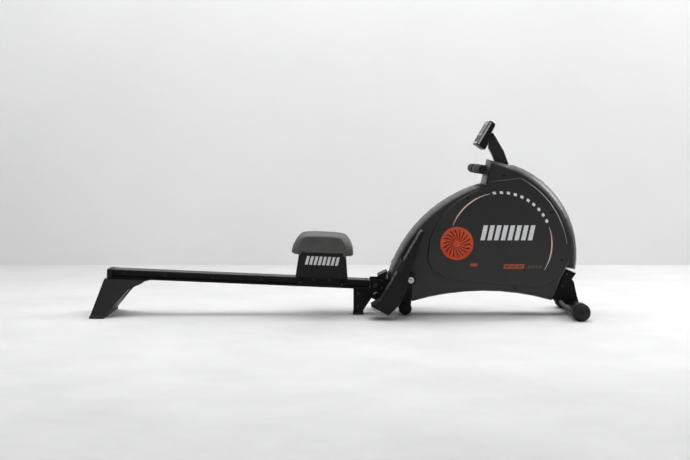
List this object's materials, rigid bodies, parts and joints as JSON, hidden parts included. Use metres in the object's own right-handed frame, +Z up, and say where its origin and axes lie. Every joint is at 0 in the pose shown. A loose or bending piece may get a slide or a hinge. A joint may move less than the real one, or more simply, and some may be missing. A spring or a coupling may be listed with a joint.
{
  "type": "rowing machine",
  "caption": "Folding magnetic rowing machine: padded seat rolling on a slanted rail, hinged to a housed flywheel with foot plates, belt-pulled handle and tilting console.",
  "frame": {"origin": "on the floor, under the centre of the machine's bounding box", "axes": "+X towards the flywheel housing, +Y to the rower's left, +Z up"},
  "size_m": [1.8377, 0.5, 0.7292],
  "materials": {
    "shell_plastic": "fine-grained charcoal",
    "frame_paint": "black powder coat",
    "rail_paint": "black anodised, satin",
    "black_plastic": "satin black",
    "rubber": "matte black",
    "grip_foam": "closed-cell foam, dark grey",
    "seat_skin": "soft integral-skin foam, charcoal",
    "orange_plastic": "orange-red, satin",
    "webbing": "black woven webbing",
    "zinc_steel": "zinc plated",
    "cast_iron": "turned",
    "display_glass": "clear window over a dark display",
    "roller_nylon": "moulded nylon"
  },
  "bodies": {
    "frame": {"main_frame": "frame_paint", "pivot_bolt": "zinc_steel", "hinge_cover": "black_plastic", "rear_support": "frame_paint", "pedal_axle": "zinc_steel", "front_bracket": "frame_paint", "front_stabiliser": "frame_paint", "foot_cap_right": "rubber", "foot_cap_left": "rubber", "housing_right": "shell_plastic", "housing_left": "shell_plastic", "vent_cover_right": "orange_plastic", "vent_cover_left": "orange_plastic", "drum_axle": "zinc_steel", "flywheel_axle": "zinc_steel", "spring_case": "black_plastic", "drive_belt": "rubber", "strap_inner": "webbing", "strap_outer": "webbing", "belt_outlet": "black_plastic", "console_post": "black_plastic"},
    "fold_knob": {"fold_knob": "black_plastic"},
    "rail": {"rail": "rail_paint", "rail_end_cap": "black_plastic", "rear_leg": "frame_paint", "rear_foot_pad": "rubber", "mid_leg": "frame_paint", "mid_foot_pad": "rubber"},
    "seat": {"seat_carriage": "frame_paint", "seat_post": "zinc_steel", "seat_base": "black_plastic", "seat_cushion": "seat_skin"},
    "pedal_right": {"pedal_right": "black_plastic", "foot_strap_right": "webbing"},
    "pedal_left": {"pedal_left": "black_plastic", "foot_strap_left": "webbing"},
    "handle": {"handle_bar": "frame_paint", "handle_clamp": "black_plastic", "handle_grip_right": "grip_foam", "handle_grip_left": "grip_foam", "bar_plug_right": "black_plastic", "bar_plug_left": "black_plastic"},
    "console": {"console_case": "black_plastic", "console_screen": "display_glass"},
    "mode_button": {"button_mode": "roller_nylon"},
    "set_button": {"button_set": "roller_nylon"},
    "reset_button": {"button_reset": "roller_nylon"},
    "tension_knob": {"tension_knob": "black_plastic"},
    "brake": {"magnet_bracket": "frame_paint"},
    "belt_drum": {"belt_drum": "black_plastic"},
    "flywheel": {"flywheel": "cast_iron"},
    "idler": {"idler_roller": "roller_nylon"},
    "wheel_right": {"transport_wheel_right": "rubber"},
    "wheel_left": {"transport_wheel_left": "rubber"},
    "roller_rear_right": {"seat_roller_rear_right": "roller_nylon"},
    "roller_rear_left": {"seat_roller_rear_left": "roller_nylon"},
    "roller_front_right": {"seat_roller_front_right": "roller_nylon"},
    "roller_front_left": {"seat_roller_front_left": "roller_nylon"}
  },
  "joints": [
    {"name": "rail_fold", "type": "hinge", "parent": "frame", "child": "rail", "pos_m": [0.141, 0, 0.1115], "axis": [0, 1, 0], "range_deg": [0, 60]},
    {"name": "seat_slide", "type": "slide", "parent": "rail", "child": "seat", "axis": [-0.9991, 0, 0.0422], "range_m": [-0.05, 0.55]},
    {"name": "handle_pull", "type": "slide", "parent": "frame", "child": "handle", "axis": [1, 0, 0], "range_m": [-0.85, 0], "stiffness_N_per_m": 18, "springref_m": 0.4},
    {"name": "drum_spin", "type": "hinge", "parent": "frame", "child": "belt_drum", "pos_m": [0.4414, 0, 0.2732], "axis": [0, 1, 0], "continuous": true},
    {"name": "idler_spin", "type": "hinge", "parent": "frame", "child": "idler", "pos_m": [0.578, 0, 0.5445], "axis": [0, 1, 0], "continuous": true},
    {"name": "flywheel_spin", "type": "hinge", "parent": "frame", "child": "flywheel", "pos_m": [0.605, 0, 0.272], "axis": [0, 1, 0], "continuous": true},
    {"name": "tension_turn", "type": "hinge", "parent": "frame", "child": "tension_knob", "pos_m": [0.625, 0.09, 0.5], "axis": [0, 1, 0], "range_deg": [0, 270]},
    {"name": "brake_swing", "type": "hinge", "parent": "frame", "child": "brake", "pos_m": [0.6908, 0, 0.1697], "axis": [0, 1, 0], "range_deg": [-0.5, 7]},
    {"name": "fold_knob_turn", "type": "hinge", "parent": "frame", "child": "fold_knob", "pos_m": [0.141, 0, 0.1115], "axis": [0, 1, 0], "range_deg": [-360, 0]},
    {"name": "console_tilt", "type": "hinge", "parent": "frame", "child": "console", "pos_m": [0.5765, 0, 0.6765], "axis": [0, 1, 0], "range_deg": [0, 20]},
    {"name": "pedal_right_swing", "type": "hinge", "parent": "frame", "child": "pedal_right", "pos_m": [0.265, 0, 0.148], "axis": [0, 1, 0], "range_deg": [-8, 20]},
    {"name": "pedal_left_swing", "type": "hinge", "parent": "frame", "child": "pedal_left", "pos_m": [0.265, 0, 0.148], "axis": [0, 1, 0], "range_deg": [-8, 20]},
    {"name": "wheel_right_spin", "type": "hinge", "parent": "frame", "child": "wheel_right", "pos_m": [0.8865, -0.234, 0.031], "axis": [0, 1, 0], "continuous": true},
    {"name": "wheel_left_spin", "type": "hinge", "parent": "frame", "child": "wheel_left", "pos_m": [0.8865, 0.234, 0.031], "axis": [0, 1, 0], "continuous": true},
    {"name": "mode_press", "type": "slide", "parent": "console", "child": "mode_button", "axis": [0.8616, 0, -0.5075], "range_m": [0, 0.001], "stiffness_N_per_m": 300, "springref_m": -0.0005},
    {"name": "set_press", "type": "slide", "parent": "console", "child": "set_button", "axis": [0.8616, 0, -0.5075], "range_m": [0, 0.001], "stiffness_N_per_m": 300, "springref_m": -0.0005},
    {"name": "reset_press", "type": "slide", "parent": "console", "child": "reset_button", "axis": [0.8616, 0, -0.5075], "range_m": [0, 0.001], "stiffness_N_per_m": 300, "springref_m": -0.0005},
    {"name": "roller_rear_right_spin", "type": "hinge", "parent": "seat", "child": "roller_rear_right", "pos_m": [-0.14199, 0, 0.12501], "axis": [0, 1, 0], "continuous": true},
    {"name": "roller_rear_left_spin", "type": "hinge", "parent": "seat", "child": "roller_rear_left", "pos_m": [-0.14199, 0, 0.12501], "axis": [0, 1, 0], "continuous": true},
    {"name": "roller_front_right_spin", "type": "hinge", "parent": "seat", "child": "roller_front_right", "pos_m": [0.01388, 0, 0.11843], "axis": [0, 1, 0], "continuous": true},
    {"name": "roller_front_left_spin", "type": "hinge", "parent": "seat", "child": "roller_front_left", "pos_m": [0.01388, 0, 0.11843], "axis": [0, 1, 0], "continuous": true}
  ],
  "couplings": [
    {"joint": "drum_spin", "follows": "handle_pull", "rad_per_m": 27.397},
    {"joint": "idler_spin", "follows": "handle_pull", "rad_per_m": 105.26},
    {"joint": "brake_swing", "follows": "tension_turn", "ratio": 0.022222},
    {"joint": "roller_rear_right_spin", "follows": "seat_slide", "rad_per_m": -98.039},
    {"joint": "roller_rear_left_spin", "follows": "seat_slide", "rad_per_m": -98.039},
    {"joint": "roller_front_right_spin", "follows": "seat_slide", "rad_per_m": -98.039},
    {"joint": "roller_front_left_spin", "follows": "seat_slide", "rad_per_m": -98.039}
  ]
}
